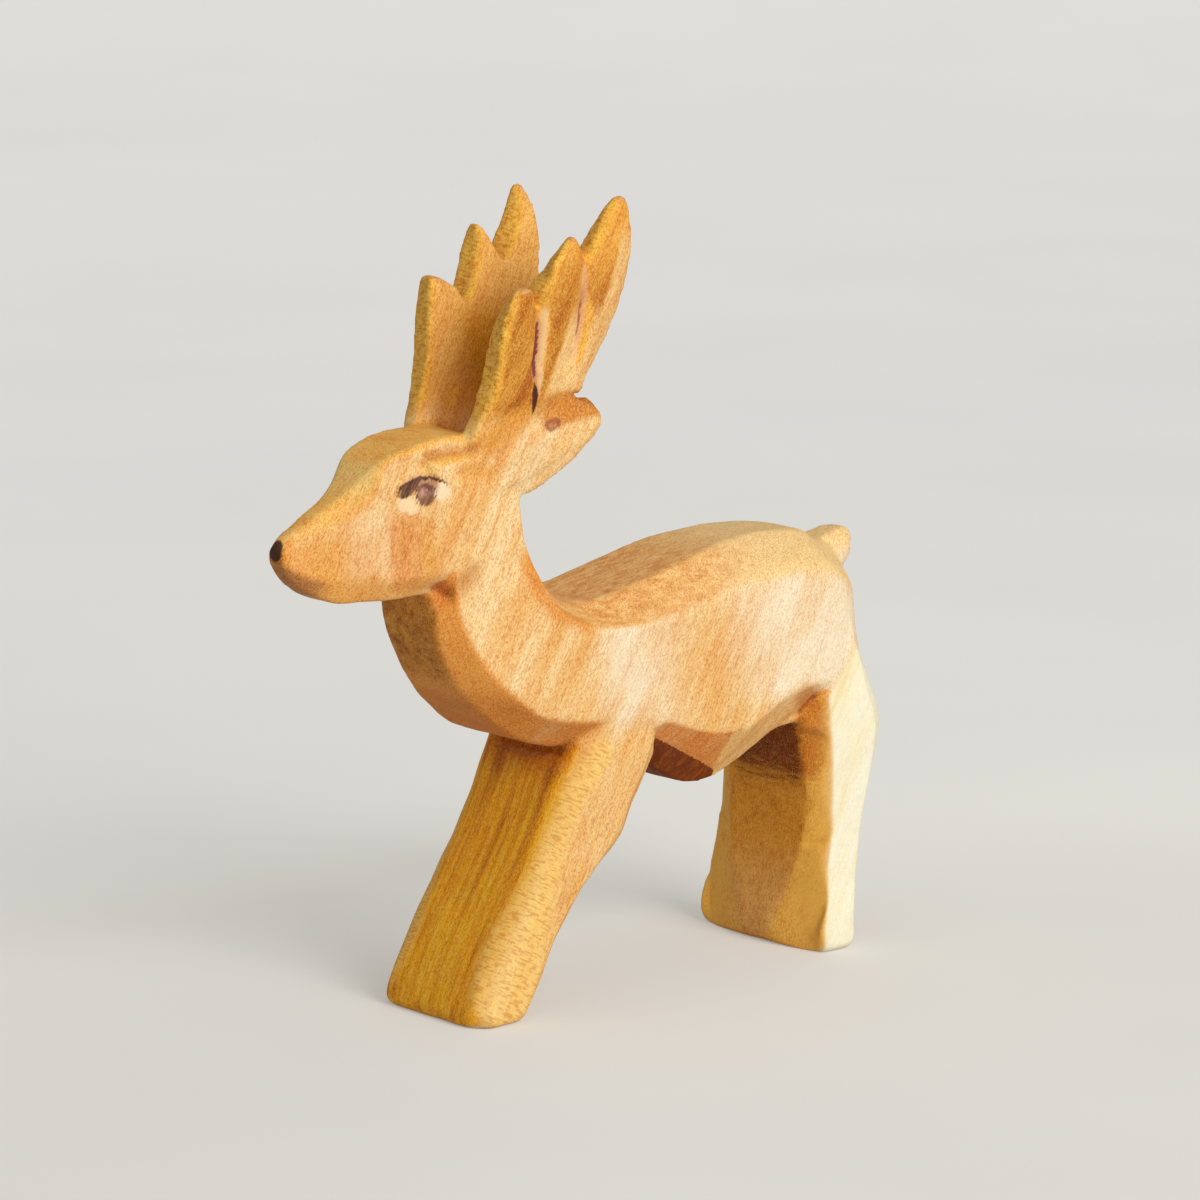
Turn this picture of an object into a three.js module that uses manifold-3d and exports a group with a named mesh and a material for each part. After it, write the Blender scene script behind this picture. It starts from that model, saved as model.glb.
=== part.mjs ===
// A standing stag, carved with a knife from one piece of pale fruitwood that was first sawn to its
// side view. Both front legs are one block and so are both hind legs. The eyes and the nose tip are
// coloured in last. Sizes are in millimetres. The stag looks along -x and stands on z = 0, with x = 0
// near its front toes while it is built. The last lines move the middle of its footprint to the origin.

import * as THREE from "three";
import { mergeVertices } from "three/addons/utils/BufferGeometryUtils.js";
import Module from "manifold-3d";

const wasm = await Module();
wasm.setup();

// Heights above the ground
const BACK_HEIGHT = 65.4; // the dip of the back behind the neck
const CROUP_HEIGHT = 71.2; // the back above the hind legs
const BELLY_HEIGHT = 31.6; // the lowest point of the belly
const CHEST_HEIGHT = 45.2; // the front legs leave the chest here
const GROIN_HEIGHT = 39.5; // the belly runs into the hind legs here
const JAW_HEIGHT = 70.2;
const POLL_HEIGHT = 94.5; // the top of the head, between the antlers
const NOSE_LIFT = 8.1; // the middle of the nose, above the jaw
const EYE_DROP = 7.9; // the middle of the eye, below the poll

// Places along the length
const STANCE = 71; // front toes to hind toes
const DIP_X = 28; // the dip of the back
const NAPE_X = 12.4; // the back of the neck
const THROAT_X = -4.8; // the front of the neck
const SHOULDER_X = 20; // the front of the leg where it leaves the chest
const BROW_X = -9; // where the forehead turns down to the muzzle
const HEAD_LENGTH = 44; // nape to nose
const TAIL_ROOT = 11; // behind the croup
const TAIL_LENGTH = 9.4;
const EAR_ROOT = 8; // in front of the nape
const EYE_BACK = 0.6; // behind the brow

// Widths, left to right
const TRUNK_WIDTH = 26.4;
const RUMP_WIDTH = 19;
const NECK_WIDTH = 18.6;
const HEAD_WIDTH = 17.4;
const MUZZLE_WIDTH = 10;
const NOSE_WIDTH = 3.2;
const FRONT_LEG_WIDTH = 26.2;
const HIND_LEG_WIDTH = 26.8;
const HIND_FOOT_WIDTH = 30.4;
const TAIL_WIDTH = 8;

// Lengths of the feet and thicknesses of the legs, fore and aft
const FRONT_FOOT_LENGTH = 10.4;
const HIND_FOOT_LENGTH = 11;
const FOREARM_DEPTH = 16;
const THIGH_DEPTH = 17.2;

// Ears
const EAR_LENGTH = 20;
const EAR_THICKNESS = 4.4;
const EAR_SPREAD = 22; // between the tips

// Antlers: tine heights are measured up from the poll
const BROW_TINE = 22.5;
const MIDDLE_TINE = 29.5;
const REAR_TINE = 35.8;
const ANTLER_REACH = 40; // behind the brow
const ANTLER_THICKNESS = 5.2;
const ANTLER_GAP = 10; // between the inner faces, at the foot of the brow tines
const ANTLER_LEAN = 0.2; // outwards for each millimetre up
const ANTLER_TURN = 0.07; // inwards for each millimetre back

// Coloured marks
const EYE_LENGTH = 8.4;
const EYE_HEIGHT = 4.6;
const MARK_DEPTH = 0.8;
const NOSE_MARK_LENGTH = 1;
const NOSE_MARK_SLANT = 0.5; // radians, the top of the mark reaching further back
const CLEARANCE = 0.3;

const RINGS_PER_CUT = 3; // how finely a limb is rounded between two cuts
const NOSE_X = NAPE_X - HEAD_LENGTH;
const { lerp } = THREE.MathUtils;

// A cut through a limb, from a top point to a bottom point in the side view. The shape gives, as shares
// of the half width or of the way down: the flat on top, the upper and lower edges of the side, and the
// flat below.
function cut(top, bottom, width, [topFlat, upper, lower, bottomFlat], middle = 0) {
  const half = width / 2;
  const at = (share, y) =>
    new THREE.Vector3(lerp(top[0], bottom[0], share), middle + y, lerp(top[1], bottom[1], share));
  return [
    at(0, -half * topFlat),
    at(upper, -half),
    at(lower, -half),
    at(1, -half * bottomFlat),
    at(1, half * bottomFlat),
    at(lower, half),
    at(upper, half),
    at(0, half * topFlat),
  ];
}

// Adds rings between the given ones, so that each corner follows a smooth curve along the limb.
function smooth(rings) {
  const curves = rings[0].map(
    (_, corner) => new THREE.CatmullRomCurve3(rings.map((ring) => ring[corner]), false, "centripetal"),
  );
  const count = (rings.length - 1) * RINGS_PER_CUT;
  return Array.from({ length: count + 1 }, (_, i) => curves.map((curve) => curve.getPoint(i / count)));
}

// Joins rings of corners into a closed skin with a flat fan on each end.
function loft(rings) {
  const corners = rings[0].length;
  const index = [];
  for (let i = 0; i + 1 < rings.length; i++) {
    for (let j = 0; j < corners; j++) {
      const here = i * corners + j;
      const next = i * corners + ((j + 1) % corners);
      if (j < corners / 2) index.push(here, next, next + corners, here, next + corners, here + corners);
      else index.push(here, next, here + corners, next, next + corners, here + corners);
    }
  }
  const last = (rings.length - 1) * corners;
  for (let j = 1; j + 1 < corners; j++) {
    index.push(0, j + 1, j);
    index.push(last, last + j, last + j + 1);
  }
  const points = rings.flat();
  return solid(new THREE.BufferGeometry().setFromPoints(points).setIndex(facingOut(points, index)));
}

// Turns every triangle over where the signed volume says that they all face inwards.
function facingOut(points, index) {
  const corner = new THREE.Vector3();
  let volume = 0;
  for (let i = 0; i < index.length; i += 3) {
    corner.crossVectors(points[index[i + 1]], points[index[i + 2]]);
    volume += points[index[i]].dot(corner);
  }
  return volume > 0 ? index : index.toReversed();
}

// A closed geometry as a solid that can be joined and cut.
function solid(geometry) {
  geometry.deleteAttribute("normal");
  geometry.deleteAttribute("uv");
  const merged = mergeVertices(geometry, 1e-4);
  const vertProperties = new Float32Array(merged.attributes.position.array);
  const triVerts = new Uint32Array(merged.index.array);
  return new wasm.Manifold(new wasm.Mesh({ numProp: 3, vertProperties, triVerts }));
}

// Points of the side view, each measured from the landmark that it belongs to.
const croup = (dx, dz) => [STANCE + dx, CROUP_HEIGHT + dz];
const groin = (dx, dz) => [STANCE + dx, GROIN_HEIGHT + dz];
const dip = (dx, dz) => [DIP_X + dx, BACK_HEIGHT + dz];
const nape = (dx, up) => [NAPE_X + dx, lerp(BACK_HEIGHT, POLL_HEIGHT, up)];
const throat = (dx, up) => [THROAT_X + dx, lerp(CHEST_HEIGHT, JAW_HEIGHT, up)];
const chest = (back, dz) => [SHOULDER_X * back, CHEST_HEIGHT + dz];
const belly = (ahead, up) => [STANCE * (1 - ahead), lerp(BELLY_HEIGHT, CHEST_HEIGHT, up)];
const poll = (dx, dz) => [BROW_X + dx, POLL_HEIGHT + dz];
const jaw = (dx, dz) => [BROW_X + dx, JAW_HEIGHT + dz];
const bridge = (along, down) => [
  lerp(BROW_X, NOSE_X, along),
  lerp(POLL_HEIGHT, JAW_HEIGHT + NOSE_LIFT, down),
];
const lip = (along, up) => [lerp(BROW_X, NOSE_X, along), JAW_HEIGHT + NOSE_LIFT * up];

// Rump, trunk and neck in one sweep: back and belly points from the tail forward and up to the poll
function trunk() {
  const round = [0.36, 0.24, 0.8, 0.6];
  const croupCut = [0.46, 0.17, 0.78, 0.6];
  const back = [0.6, 0.16, 0.74, 0.5];
  const neck = [0.62, 0.12, 0.84, 0.64];
  const breast = [0.6, 0.12, 0.83, 0.56];
  const flank = lerp(TRUNK_WIDTH, NECK_WIDTH, 0.15);
  const shoulder = lerp(TRUNK_WIDTH, NECK_WIDTH, 0.45);
  const collar = lerp(TRUNK_WIDTH, NECK_WIDTH, 0.8);
  return loft(
    smooth([
      cut(croup(15.4, -7.4), groin(17, 8), RUMP_WIDTH * 0.8, round),
      cut(croup(13.4, -4), groin(15, 4), RUMP_WIDTH, round),
      cut(croup(9, -1.6), groin(10, 1.6), lerp(RUMP_WIDTH, TRUNK_WIDTH, 0.7), round),
      cut(croup(2, -0.3), groin(3, -0.5), TRUNK_WIDTH, croupCut),
      cut(croup(-8, 0.2), groin(-4, -1.5), TRUNK_WIDTH, croupCut),
      cut(croup(-17, -0.6), belly(0.19, 0.09), TRUNK_WIDTH, [0.56, 0.16, 0.78, 0.52]),
      cut(croup(-26, -2.4), belly(0.282, 0), TRUNK_WIDTH, back),
      cut(dip(8, 1.4), belly(0.373, 0.12), TRUNK_WIDTH, back),
      cut(dip(0, 0), belly(0.479, 0.47), TRUNK_WIDTH, back),
      cut(dip(-6.5, 0.3), chest(1, -3), lerp(TRUNK_WIDTH, flank, 0.5), [0.58, 0.14, 0.8, 0.64]),
      cut(dip(-11, 3), chest(0.5, 0), flank, [0.58, 0.13, 0.82, 0.64]),
      cut(nape(1.8, 0.26), throat(7.4, 0.26), shoulder, breast),
      cut(nape(0.2, 0.44), throat(2.6, 0.53), collar, breast),
      cut(nape(0, 0.6), throat(0.2, 0.79), NECK_WIDTH, neck),
      cut(nape(-0.8, 0.8), throat(0, 1.2), lerp(NECK_WIDTH, HEAD_WIDTH, 0.9), neck),
      cut(nape(-5, 0.95), throat(1, 1.5), HEAD_WIDTH * 0.8, neck),
    ]),
  );
}

// The front legs in one block, leaning forward from the chest to the toes
function frontLegs() {
  const block = [0.8, 0.2, 0.77, 0.78];
  const front = (lean, rise) => [SHOULDER_X * lean, CHEST_HEIGHT * rise];
  const back = (lean, rise, depth) => [SHOULDER_X * lean + FOREARM_DEPTH * depth, CHEST_HEIGHT * rise];
  const heel = (dx, rise) => [FRONT_FOOT_LENGTH + dx, CHEST_HEIGHT * rise];
  return loft(
    smooth([
      cut(back(1.4, 1.24, 0.5), front(1.4, 1.24), FRONT_LEG_WIDTH * 0.92, block),
      cut(back(1, 0.93, 1.16), front(1, 0.93), FRONT_LEG_WIDTH, block),
      cut(back(0.85, 0.76, 1.1), front(0.85, 0.79), FRONT_LEG_WIDTH, block),
      cut(back(0.64, 0.61, 1.05), front(0.64, 0.61), FRONT_LEG_WIDTH, block),
      cut(back(0.4, 0.44, 0.79), front(0.4, 0.44), FRONT_LEG_WIDTH, block),
      cut(back(0.17, 0.275, 0.7), front(0.17, 0.275), FRONT_LEG_WIDTH, block),
      cut(heel(0.6, 0.11), front(-0.03, 0.11), FRONT_LEG_WIDTH, block),
      cut(heel(-0.8, 0.02), front(-0.095, 0.02), FRONT_LEG_WIDTH, block),
      cut(heel(-1.6, 0), front(-0.06, 0), FRONT_LEG_WIDTH * 0.95, block),
    ]),
  );
}

// The hind legs in one block: thigh, hock and spread feet
function hindLegs() {
  const block = [0.76, 0.24, 0.82, 0.76];
  const rise = (share) => GROIN_HEIGHT * share;
  const spread = (share) => lerp(HIND_LEG_WIDTH, HIND_FOOT_WIDTH, share);
  const toe = (dx, z) => [STANCE + dx, z];
  return loft(
    smooth([
      cut(toe(12, rise(1.5)), toe(3, rise(1.46)), HIND_LEG_WIDTH * 0.85, block),
      cut(toe(15, rise(1.2)), toe(1.5, rise(1.16)), HIND_LEG_WIDTH * 0.96, block),
      cut(toe(1.4 + THIGH_DEPTH, rise(0.93)), toe(1.4, rise(0.95)), HIND_LEG_WIDTH, block),
      cut(toe(16.4, rise(0.72)), toe(2.4, rise(0.71)), HIND_LEG_WIDTH, block),
      cut(toe(13.6, rise(0.5)), toe(2.2, rise(0.5)), spread(0.1), block),
      cut(toe(12, rise(0.3)), toe(0.9, rise(0.3)), spread(0.4), block),
      cut(toe(HIND_FOOT_LENGTH - 0.2, rise(0.1)), toe(-0.8, rise(0.1)), HIND_FOOT_WIDTH, block),
      cut(toe(HIND_FOOT_LENGTH - 0.4, rise(0.02)), toe(-0.6, rise(0.02)), HIND_FOOT_WIDTH, block),
      cut(toe(HIND_FOOT_LENGTH - 1, 0), toe(0.2, 0), HIND_FOOT_WIDTH * 0.96, block),
    ]),
  );
}

// A short blunt tail, standing off the rump
function tail() {
  const stub = [0.6, 0.35, 0.7, 0.5];
  const point = (share, dz) => croup(TAIL_ROOT + TAIL_LENGTH * share, dz);
  return loft(
    smooth([
      cut(point(-0.3, -3.4), point(-0.1, -12), TAIL_WIDTH, stub),
      cut(point(0.3, -2.8), point(0.6, -12), TAIL_WIDTH, stub),
      cut(point(0.76, -2.3), point(0.86, -8.4), TAIL_WIDTH * 0.8, stub),
      cut(point(0.98, -3), point(1, -5.6), TAIL_WIDTH * 0.5, stub),
    ]),
  );
}

// Skull and muzzle, from inside the neck forward to the nose
function head() {
  const skull = [0.72, 0.16, 0.84, 0.66];
  const muzzle = [0.42, 0.3, 0.78, 0.6];
  const cheek = (share) => lerp(HEAD_WIDTH, MUZZLE_WIDTH, share);
  const snout = (share) => lerp(MUZZLE_WIDTH, NOSE_WIDTH, share);
  return loft(
    smooth([
      cut(poll(19.6, -3.4), jaw(20, 13), HEAD_WIDTH * 0.5, skull),
      cut(poll(14, -0.6), jaw(13, 3.8), HEAD_WIDTH, skull),
      cut(poll(6, 0), jaw(5.4, 0), HEAD_WIDTH, skull),
      cut(poll(0, -0.9), jaw(-0.6, -0.2), cheek(0.08), skull),
      cut(poll(-4.8, -2.6), jaw(-5, -0.2), cheek(0.42), [0.68, 0.2, 0.84, 0.7]),
      cut(bridge(0.354, 0.333), lip(0.38, -0.02), cheek(0.78), [0.52, 0.24, 0.8, 0.64]),
      cut(bridge(0.513, 0.506), lip(0.55, 0), snout(0.04), muzzle),
      cut(bridge(0.735, 0.679), lip(0.735, 0.2), snout(0.35), muzzle),
      cut(lip(0.934, 1.35), lip(0.916, 0.53), snout(0.78), muzzle),
      cut(lip(1, 1.16), lip(0.99, 0.84), NOSE_WIDTH, muzzle),
    ]),
  );
}

// One ear: a leaf that points back and up from the side of the head, broad at its root
function ear(side) {
  const leaf = [0.3, 0.36, 0.7, 0.3];
  const out = (share) => side * lerp(HEAD_WIDTH / 2 - EAR_THICKNESS / 2, EAR_SPREAD / 2, share);
  const along = (share, z) => [NAPE_X - EAR_ROOT + EAR_LENGTH * share, POLL_HEIGHT + z];
  return loft(
    smooth([
      cut(along(0, -1), along(0, -13.4), EAR_THICKNESS, leaf, out(0)),
      cut(along(0.26, 1.6), along(0.32, -9.8), EAR_THICKNESS, leaf, out(0.3)),
      cut(along(0.5, 3.4), along(0.6, -6.4), EAR_THICKNESS, leaf, out(0.6)),
      cut(along(0.74, 4.6), along(0.82, -3.2), EAR_THICKNESS * 0.8, leaf, out(0.8)),
      cut(along(0.93, 4.2), along(0.97, -0.2), EAR_THICKNESS * 0.5, leaf, out(0.95)),
      cut(along(0.99, 3), along(1, 1.4), EAR_THICKNESS * 0.3, leaf, out(1)),
    ]),
  );
}

// How far out the flat inner face of an antler lies, at a place of the side view
const palm = (x, rise) => ANTLER_GAP / 2 + ANTLER_LEAN * rise - ANTLER_TURN * x;

// The outline of a tine cut across, as shares from front to rear and from the inner face outwards. The
// sawn front edge is square, and the outer face is rounded off.
const TINE_CUT = [
  [0, 0.08],
  [0.08, 0],
  [0.92, 0],
  [1, 0.16],
  [1, 0.5],
  [0.76, 1],
  [0.26, 1],
  [0, 0.76],
];

// One tine. Each row gives its height as a share of the tine, its front and rear edge as shares of the
// antler's reach behind the brow, and its thickness as a share of the palm's.
function tine(side, height, rows) {
  const rings = rows.map(([share, front, rear, thick]) =>
    TINE_CUT.map(([along, across]) => {
      const x = BROW_X + ANTLER_REACH * lerp(front, rear, along);
      const depth = ANTLER_THICKNESS * lerp(0.5 - thick / 2, 0.5 + thick / 2, across);
      const y = palm(x, height * share) + depth;
      return new THREE.Vector3(x, side * y, POLL_HEIGHT + height * share);
    }),
  );
  return loft(smooth(rings));
}

// An antler: a flat palm that splits into three tines, each rising above the one in front of it
function antler(side) {
  const brow = [
    [-0.4, 0.175, 0.55, 0.7],
    [-0.1, 0.235, 0.55, 0.84],
    [0.12, 0.285, 0.56, 0.8],
    [0.4, 0.345, 0.58, 0.84],
    [0.65, 0.385, 0.595, 0.84],
    [0.84, 0.4, 0.59, 0.78],
    [0.95, 0.415, 0.545, 0.66],
    [1, 0.435, 0.485, 0.4],
  ];
  const middle = [
    [-0.24, 0.325, 0.65, 1],
    [0.1, 0.425, 0.695, 1.2],
    [0.32, 0.49, 0.74, 1.14],
    [0.52, 0.535, 0.775, 1.08],
    [0.7, 0.585, 0.805, 1],
    [0.86, 0.63, 0.815, 0.88],
    [0.96, 0.66, 0.785, 0.62],
    [1, 0.69, 0.74, 0.36],
  ];
  const rear = [
    [-0.16, 0.425, 0.6, 1],
    [0.1, 0.525, 0.705, 1.2],
    [0.25, 0.6, 0.82, 1.14],
    [0.42, 0.675, 0.915, 1.1],
    [0.6, 0.75, 0.98, 1.04],
    [0.76, 0.82, 0.995, 0.96],
    [0.88, 0.865, 0.997, 0.8],
    [0.97, 0.915, 0.98, 0.54],
    [1, 0.94, 0.965, 0.3],
  ];
  return wasm.Manifold.union([
    tine(side, BROW_TINE, brow),
    tine(side, MIDDLE_TINE, middle),
    tine(side, REAR_TINE, rear),
  ]);
}

// An almond-shaped bar along y through one side of the head, wider all round than the eye by a margin
function almond(side, margin) {
  const long = EYE_LENGTH / 2 + margin;
  const high = EYE_HEIGHT / 2 + margin;
  const outline = new THREE.Shape()
    .moveTo(-long, -high * 0.2)
    .quadraticCurveTo(-long * 0.2, high * 2.2, long, high * 0.1)
    .quadraticCurveTo(long * 0.1, -high * 2, -long, -high * 0.2);
  const settings = { depth: HEAD_WIDTH, bevelEnabled: false, curveSegments: 8 };
  const bar = new THREE.ExtrudeGeometry(outline, settings);
  bar.translate(BROW_X + EYE_BACK, POLL_HEIGHT - EYE_DROP, -HEAD_WIDTH / 2);
  bar.rotateX(Math.PI / 2);
  bar.translate(0, side * HEAD_WIDTH * 0.7, 0);
  return solid(bar);
}

// A big block in front of the slanted line where the nose colour ends, grown past it by a margin
function noseBlock(margin) {
  const block = new THREE.BoxGeometry(HEAD_LENGTH, HEAD_WIDTH, HEAD_LENGTH);
  block.translate(margin - HEAD_LENGTH / 2, 0, 0);
  block.rotateY(NOSE_MARK_SLANT);
  block.translate(NOSE_X + NOSE_MARK_LENGTH, 0, JAW_HEIGHT + NOSE_LIFT);
  return solid(block);
}

const carved = wasm.Manifold.union([
  trunk(),
  frontLegs(),
  hindLegs(),
  tail(),
  head(),
  ear(-1),
  ear(1),
  antler(-1),
  antler(1),
]);

// An eye fills a shallow burnt hollow level with the head, and touches neither its floor nor its edge.
function eye(side) {
  const below = carved.translate(0, -side * MARK_DEPTH, 0);
  return almond(side, 0).intersect(carved).subtract(below);
}

function eyeHollow(side) {
  const floor = carved.translate(0, -side * (MARK_DEPTH + CLEARANCE), 0);
  return almond(side, CLEARANCE).subtract(floor);
}

const wood = carved.subtract(eyeHollow(-1)).subtract(eyeHollow(1)).subtract(noseBlock(CLEARANCE));

// A named piece of the figurine, with its own colour.
function piece(name, body, color, roughness) {
  const { vertProperties, triVerts } = body.getMesh();
  const geometry = new THREE.BufferGeometry();
  geometry.setAttribute("position", new THREE.BufferAttribute(vertProperties, 3));
  geometry.setIndex(new THREE.BufferAttribute(triVerts, 1));
  const material = new THREE.MeshStandardMaterial({ color, roughness, metalness: 0 });
  const mesh = new THREE.Mesh(geometry, material);
  mesh.name = name;
  return mesh;
}

const figurine = new THREE.Group();
figurine.add(piece("carved_deer", wood, 0xd9a05b, 0.55));
figurine.add(piece("left_eye", eye(-1), 0x4a2a26, 0.5));
figurine.add(piece("right_eye", eye(1), 0x4a2a26, 0.5));
figurine.add(piece("nose_tip", carved.intersect(noseBlock(0)), 0x2e1a14, 0.45));

// The middle of the footprint of the whole figurine goes to the origin.
const bounds = new THREE.Box3().setFromObject(figurine);
const middle = bounds.getCenter(new THREE.Vector3()).setZ(bounds.min.z);
for (const mesh of figurine.children) mesh.position.sub(middle);

export default figurine;
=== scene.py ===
import math
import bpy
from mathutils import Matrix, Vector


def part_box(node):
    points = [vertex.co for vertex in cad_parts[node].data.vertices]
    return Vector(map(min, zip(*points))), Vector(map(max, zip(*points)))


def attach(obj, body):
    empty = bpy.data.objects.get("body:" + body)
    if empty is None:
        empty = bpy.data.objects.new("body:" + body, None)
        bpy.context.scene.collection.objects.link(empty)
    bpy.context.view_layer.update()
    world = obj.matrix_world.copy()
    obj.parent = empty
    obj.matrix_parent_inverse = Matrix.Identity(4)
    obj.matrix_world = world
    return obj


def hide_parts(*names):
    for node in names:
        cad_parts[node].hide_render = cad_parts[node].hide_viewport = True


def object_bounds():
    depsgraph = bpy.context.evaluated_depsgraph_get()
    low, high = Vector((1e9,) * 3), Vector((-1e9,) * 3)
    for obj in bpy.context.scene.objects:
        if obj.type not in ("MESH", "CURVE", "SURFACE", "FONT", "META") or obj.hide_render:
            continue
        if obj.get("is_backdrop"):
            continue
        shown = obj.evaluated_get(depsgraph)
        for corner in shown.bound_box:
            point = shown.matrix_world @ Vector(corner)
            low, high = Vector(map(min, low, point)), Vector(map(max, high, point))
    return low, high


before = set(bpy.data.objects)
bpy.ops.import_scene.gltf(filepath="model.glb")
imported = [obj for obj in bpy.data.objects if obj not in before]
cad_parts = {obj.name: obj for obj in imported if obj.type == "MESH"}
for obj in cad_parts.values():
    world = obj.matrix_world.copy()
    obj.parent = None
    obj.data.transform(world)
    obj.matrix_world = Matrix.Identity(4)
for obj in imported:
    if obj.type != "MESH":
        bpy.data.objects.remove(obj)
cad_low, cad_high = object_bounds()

from types import SimpleNamespace

import bmesh
import bpy
import numpy as np

# The stag is one piece of pale fruitwood, sawn to its side view from a thick board, then cut to shape with a
# knife and rubbed with oil. The flat knife cuts meet in edges that are only a little worn, and every limb
# grows out of the trunk without a joint. It is whole under the eyes and the nose, which are stained into it.

MM = 0.001
SKIN_STEP = 0.545 * MM  # between neighbouring corners of the wood's surface
EYES = ("left_eye", "right_eye")


def triangles_of(mesh):
    """Corners and triangles of a mesh, with the corners that lie in one place made one."""
    places = np.empty(3 * len(mesh.vertices), np.float32)
    mesh.vertices.foreach_get("co", places)
    corner = np.empty(len(mesh.loops), np.int32)
    mesh.loops.foreach_get("vertex_index", corner)
    kept, index = np.unique(places.reshape(-1, 3).round(6), axis=0, return_inverse=True)
    triangles = index.reshape(-1)[corner].reshape(-1, 3)
    whole = (triangles != np.roll(triangles, 1, axis=1)).all(axis=1)
    return kept.astype(float), triangles[whole]


def merged_copy(node):
    """Corners and triangles of a CAD node, which itself is left alone."""
    return triangles_of(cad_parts[node].data)


def sawn(solid, height):
    """What a closed solid has below a height, with a flat cut there."""
    mesh = bpy.data.meshes.new("sawn")
    mesh.from_pydata(solid[0].tolist(), [], solid[1].tolist())
    shape = bmesh.new()
    shape.from_mesh(mesh)
    whole = [*shape.verts, *shape.edges, *shape.faces]
    cut = bmesh.ops.bisect_plane(
        shape, geom=whole, plane_co=(0, 0, height), plane_no=(0, 0, 1), clear_outer=True
    )
    rim = [part for part in cut["geom_cut"] if isinstance(part, bmesh.types.BMEdge)]
    bmesh.ops.triangle_fill(shape, edges=rim)
    bmesh.ops.triangulate(shape, faces=shape.faces[:])
    shape.to_mesh(mesh)
    shape.free()
    part = triangles_of(mesh)
    bpy.data.meshes.remove(mesh)
    return part


def lofted(rows, side):
    """A closed solid through rows of corners, with flat ends. A row is a height, then how far along the body
    and how far out to the given side each of its corners is, all in millimetres."""
    table = np.array(rows, float) * MM
    ring = table[:, 1:].reshape(len(table), -1, 2) * (1, side)
    up = np.broadcast_to(table[:, :1, None], (*ring.shape[:2], 1))
    count = ring.shape[1]
    first = np.arange(count)
    after = (first + 1) % count
    wall = np.stack([first, after, after + count, first, after + count, first + count], axis=1).reshape(-1, 3)
    walls = (wall + np.arange(len(table) - 1)[:, None, None] * count).reshape(-1, 3)
    end = np.stack([np.zeros(count - 2, int), first[1:-1], first[2:]], axis=1)
    faces = np.concatenate([walls, end[:, ::-1], end + (len(table) - 1) * count])
    return np.concatenate([ring, up], axis=2).reshape(-1, 3), faces


def plug(node, spread, shift):
    """A copy of a node, spread about its middle and shifted, to fill the hollow that the node lies in."""
    places, triangles = merged_copy(node)
    middle = (places.min(axis=0) + places.max(axis=0)) / 2
    return middle + (places - middle) * spread + shift, triangles


def made_mesh(name, places, faces):
    """A new mesh object from arrays of corners and faces."""
    mesh = bpy.data.meshes.new(name)
    mesh.from_pydata(places.tolist(), [], faces.tolist())
    mesh.update()
    made = bpy.data.objects.new(name, mesh)
    bpy.context.scene.collection.objects.link(made)
    return made


def skinned(made, step):
    """Turns overlapping closed solids into one even skin of small squares around all of them."""
    skin = made.modifiers.new("skin", "REMESH")
    skin.mode = "VOXEL"
    skin.voxel_size = step
    skin.use_smooth_shade = True
    graph = bpy.context.evaluated_depsgraph_get()
    mesh = bpy.data.meshes.new_from_object(made.evaluated_get(graph))
    made.modifiers.clear()
    made.data = mesh


def places_of(mesh):
    """The corners of a mesh as an array of points."""
    places = np.empty(3 * len(mesh.vertices), np.float32)
    mesh.vertices.foreach_get("co", places)
    return places.reshape(-1, 3).astype(float)


def laid(mesh, places):
    """Moves the corners of a mesh to their places, and gives the way that each one faces there."""
    mesh.vertices.foreach_set("co", places.astype(np.float32).ravel())
    mesh.update()
    facing = np.empty(3 * len(places), np.float32)
    mesh.vertex_normals.foreach_get("vector", facing)
    return facing.reshape(-1, 3).astype(float)


def sanded(places, edges, rounds, share):
    """Each corner goes a share of the way to the mean of its neighbours along the edges, in each round."""
    ends = np.concatenate([edges, edges[:, ::-1]])
    count = np.maximum(np.bincount(ends[:, 0], minlength=len(places)), 1)[:, None]
    for _ in range(rounds):
        sums = [np.bincount(ends[:, 0], places[ends[:, 1], axis], len(places)) for axis in range(3)]
        places = places + share * (np.stack(sums, axis=1) / count - places)
    return places


def eased(places, edges, rounds):
    """Takes small steps off a surface without making the piece smaller: a round inwards, a round back out."""
    for _ in range(rounds):
        places = sanded(sanded(places, edges, 1, 0.5), edges, 1, -0.53)
    return places


def ramp(values, low, high):
    """0 up to low and 1 from high on, with a smooth rise between them. Low may be the greater."""
    t = np.clip((values - low) / (high - low), 0, 1)
    return t * t * (3 - 2 * t)


def swell(places, length, seed):
    """A smooth random field from about -1 to 1: the sum of plane waves about a length long."""
    rng = np.random.default_rng(seed)
    ways = rng.normal(size=(3, 16))
    ways *= rng.uniform(0.7, 1.4, 16) * 2 * np.pi / length / np.linalg.norm(ways, axis=0)
    return np.sin(places @ ways + rng.uniform(0, 2 * np.pi, 16)).sum(axis=1) / 4


def folded(places):
    """The corners with the stag's right side laid over onto its left side."""
    return np.where([False, True, False], -np.abs(places), places)


def nearest(places, stops):
    """How far each corner is from the line through the stops, in millimetres, and its share of the way."""
    found = np.full(len(places), np.inf)
    share = np.zeros(len(places))
    ends = np.array(stops, float)
    for leg, (start, way) in enumerate(zip(ends[:-1], np.diff(ends, axis=0))):
        t = np.clip((places / MM - start) @ way / (way @ way), 0, 1)
        far = np.linalg.norm(places / MM - start - t[:, None] * way, axis=1)
        share = np.where(far < found, (leg + t) / (len(ends) - 1), share)
        found = np.minimum(found, far)
    return found, share


def along(places, *stops):
    """How far each corner is from the line through the stops, all in millimetres."""
    return nearest(places, stops)[0]


def place_on(stops, height):
    """Where the line through the stops, which go down from the top, is along the body at the given heights.
    All in millimetres."""
    table = np.array(stops[::-1])
    return np.interp(height, table[:, 2], table[:, 0])


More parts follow.
